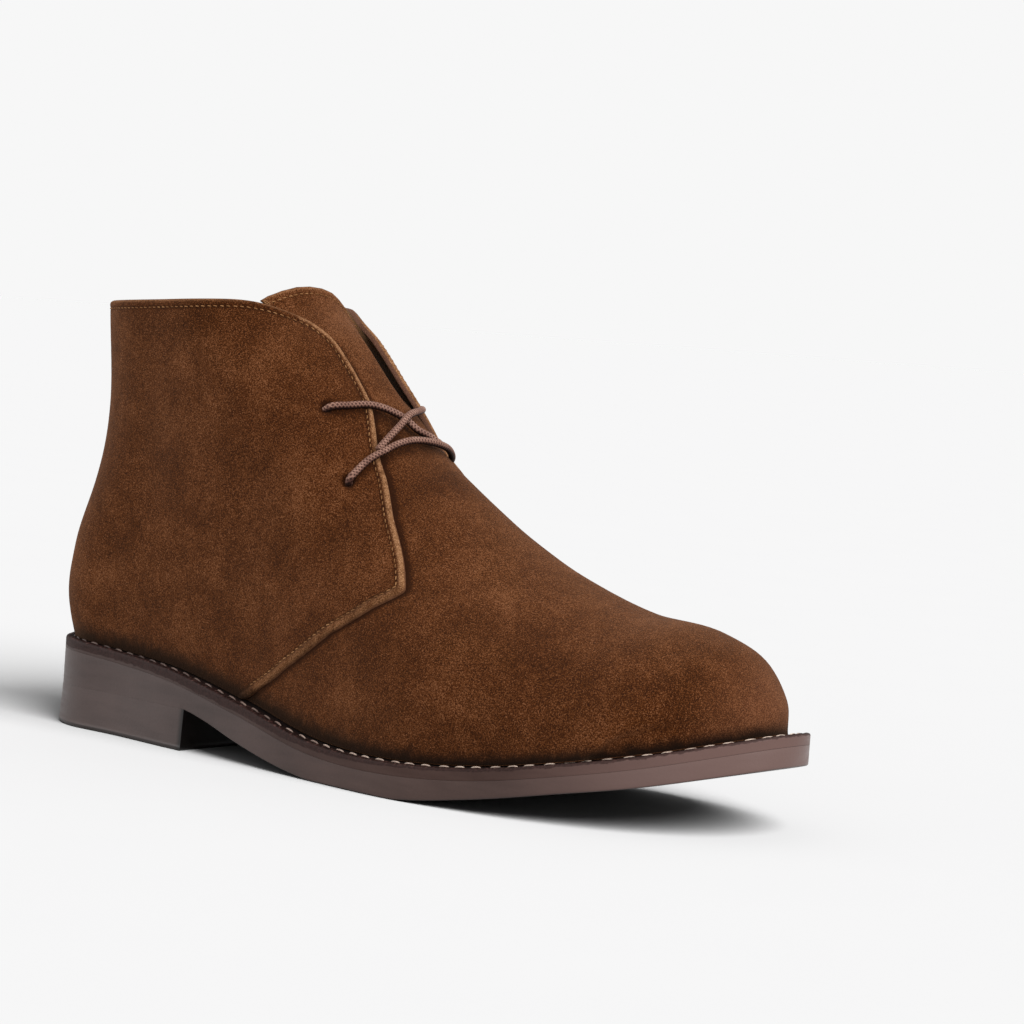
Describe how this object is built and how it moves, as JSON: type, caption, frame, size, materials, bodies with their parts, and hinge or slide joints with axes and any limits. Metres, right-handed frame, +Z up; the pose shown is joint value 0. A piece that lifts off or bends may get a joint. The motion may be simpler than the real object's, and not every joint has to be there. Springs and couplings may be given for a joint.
{
  "type": "chukka boot",
  "caption": "Ankle-high suede chukka boot for the right foot: plain vamp, two quarters laced over a tongue, stitched welt, leather sole and low heel.",
  "frame": {"origin": "under the middle of the boot's box, on the ground plane that the heel and the forefoot stand on", "axes": "+X from the heel to the toe, +Y to the inner side of the foot, +Z up"},
  "size_m": [0.3088, 0.102, 0.16],
  "materials": {
    "suede": "brushed suede, mid brown, mottled nap",
    "lining": "smooth tan lining leather",
    "edge_tan": "raw cut leather edge, light tan",
    "thread": "waxed sewing thread, tan",
    "lace": "round waxed cotton lace, mauve brown",
    "welt": "burnished edge, ragged dark top",
    "sole_leather": "burnished grey-brown edge, satin",
    "heel_leather": "stacked leather, burnished, satin",
    "insole_leather": "smooth tan insole leather"
  },
  "bodies": {
    "root": {"outsole": "sole_leather", "heel": "heel_leather", "welt": "welt", "insole": "insole_leather", "upper": "suede", "tongue": "suede", "lace": "lace"}
  },
  "joints": []
}
